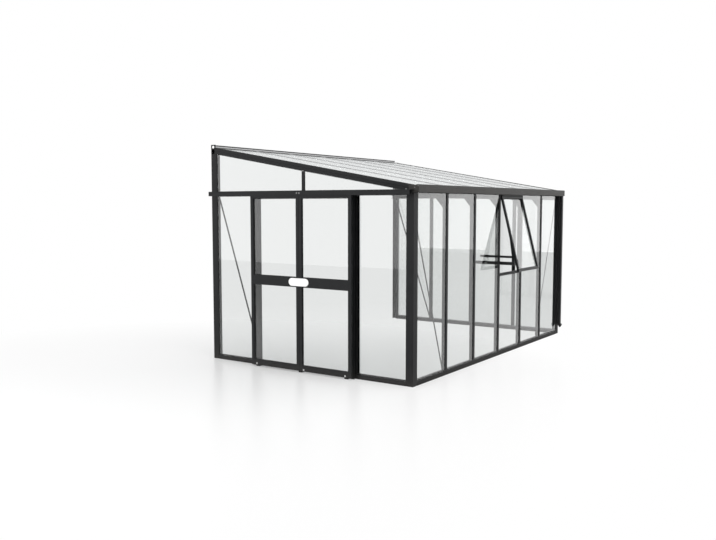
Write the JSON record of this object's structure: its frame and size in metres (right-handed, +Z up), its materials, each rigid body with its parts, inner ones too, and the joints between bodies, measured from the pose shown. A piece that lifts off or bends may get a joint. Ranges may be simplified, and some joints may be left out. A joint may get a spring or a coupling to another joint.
{
  "type": "lean-to greenhouse",
  "caption": "Lean-to greenhouse with glazed walls, sliding double doors in one end, a top-hung window in the front, a single-slope translucent roof, an eave gutter and a downpipe.",
  "frame": {"origin": "middle of the underside of the bounding box, on the ground, with the doors shut and the window ajar", "axes": "+X along the front from the door end to the far end, +Y from the glazed front towards the house wall, +Z up"},
  "size_m": [4.5182, 3.224, 2.72],
  "materials": {
    "frame_coating": "dark powder coating with a fine satin texture",
    "clear_glass": "clear toughened glass with a faint green edge",
    "roof_sheet": "translucent twin-wall sheet, milky white",
    "grip_plate": "smooth white moulded plastic",
    "opener_steel": "black satin paint"
  },
  "bodies": {
    "frame": {"base_rail_front": "frame_coating", "base_rail_door_end": "frame_coating", "base_rail_far_end": "frame_coating", "corner_post_door_end": "frame_coating", "corner_post_far_end": "frame_coating", "wall_post_door_end": "frame_coating", "wall_post_far_end": "frame_coating", "front_bar_1": "frame_coating", "front_bar_2": "frame_coating", "front_bar_3": "frame_coating", "front_bar_4": "frame_coating", "front_bar_5": "frame_coating", "far_bar_1": "frame_coating", "far_bar_2": "frame_coating", "far_bar_3": "frame_coating", "eave_beam": "frame_coating", "downpipe": "frame_coating", "ridge_rail": "frame_coating", "gable_rafter_door_end": "frame_coating", "gable_rafter_far_end": "frame_coating", "roof_rafter_1": "frame_coating", "roof_rafter_2": "frame_coating", "roof_rafter_3": "frame_coating", "roof_rafter_4": "frame_coating", "roof_rafter_5": "frame_coating", "roof_sheet_1": "roof_sheet", "roof_sheet_2": "roof_sheet", "roof_sheet_3": "roof_sheet", "door_header": "frame_coating", "door_jamb_wall_side": "frame_coating", "door_jamb_corner_side": "frame_coating", "far_transom": "frame_coating", "wind_brace_door_end": "frame_coating", "wind_brace_far_end": "frame_coating", "wind_brace_front_near": "frame_coating", "wind_brace_front_far": "frame_coating", "front_pane_1": "clear_glass", "front_pane_2": "clear_glass", "front_pane_3": "clear_glass", "front_pane_4": "clear_glass", "front_pane_5": "clear_glass", "front_pane_6": "clear_glass", "door_end_pane_wall_bay": "clear_glass", "door_end_pane_corner_bay": "clear_glass", "door_end_pane_upper_wall": "clear_glass", "door_end_pane_upper_corner": "clear_glass", "far_end_pane_1": "clear_glass", "far_end_pane_2": "clear_glass", "far_end_pane_3": "clear_glass", "far_end_pane_4": "clear_glass", "window_sill": "frame_coating"},
    "door_leaf_wall": {"door_leaf_wall_side": "frame_coating", "door_pane_wall_side": "clear_glass", "door_grip_wall_side": "grip_plate"},
    "door_leaf_corner": {"door_leaf_corner_side": "frame_coating", "door_pane_corner_side": "clear_glass", "door_grip_corner_side": "grip_plate"},
    "window": {"window_sash": "frame_coating", "window_pane": "clear_glass"},
    "opener": {"opener_rods": "opener_steel"}
  },
  "joints": [
    {"name": "door_slide_wall_side", "type": "slide", "parent": "frame", "child": "door_leaf_wall", "axis": [0, 1, 0], "range_m": [0, 0.68]},
    {"name": "door_slide_corner_side", "type": "slide", "parent": "frame", "child": "door_leaf_corner", "axis": [0, -1, 0], "range_m": [0, 0.68]},
    {"name": "window_hinge", "type": "hinge", "parent": "frame", "child": "window", "pos_m": [0.41165, -1.35402, 2.086], "axis": [-1, 0, 0], "range_deg": [-14.6, 5.4]},
    {"name": "opener_slide", "type": "slide", "parent": "frame", "child": "opener", "axis": [0, -1, 0], "range_m": [-0.218, 0.082]}
  ],
  "couplings": [
    {"joint": "opener_slide", "follows": "window_hinge", "m_per_rad": 0.85}
  ]
}
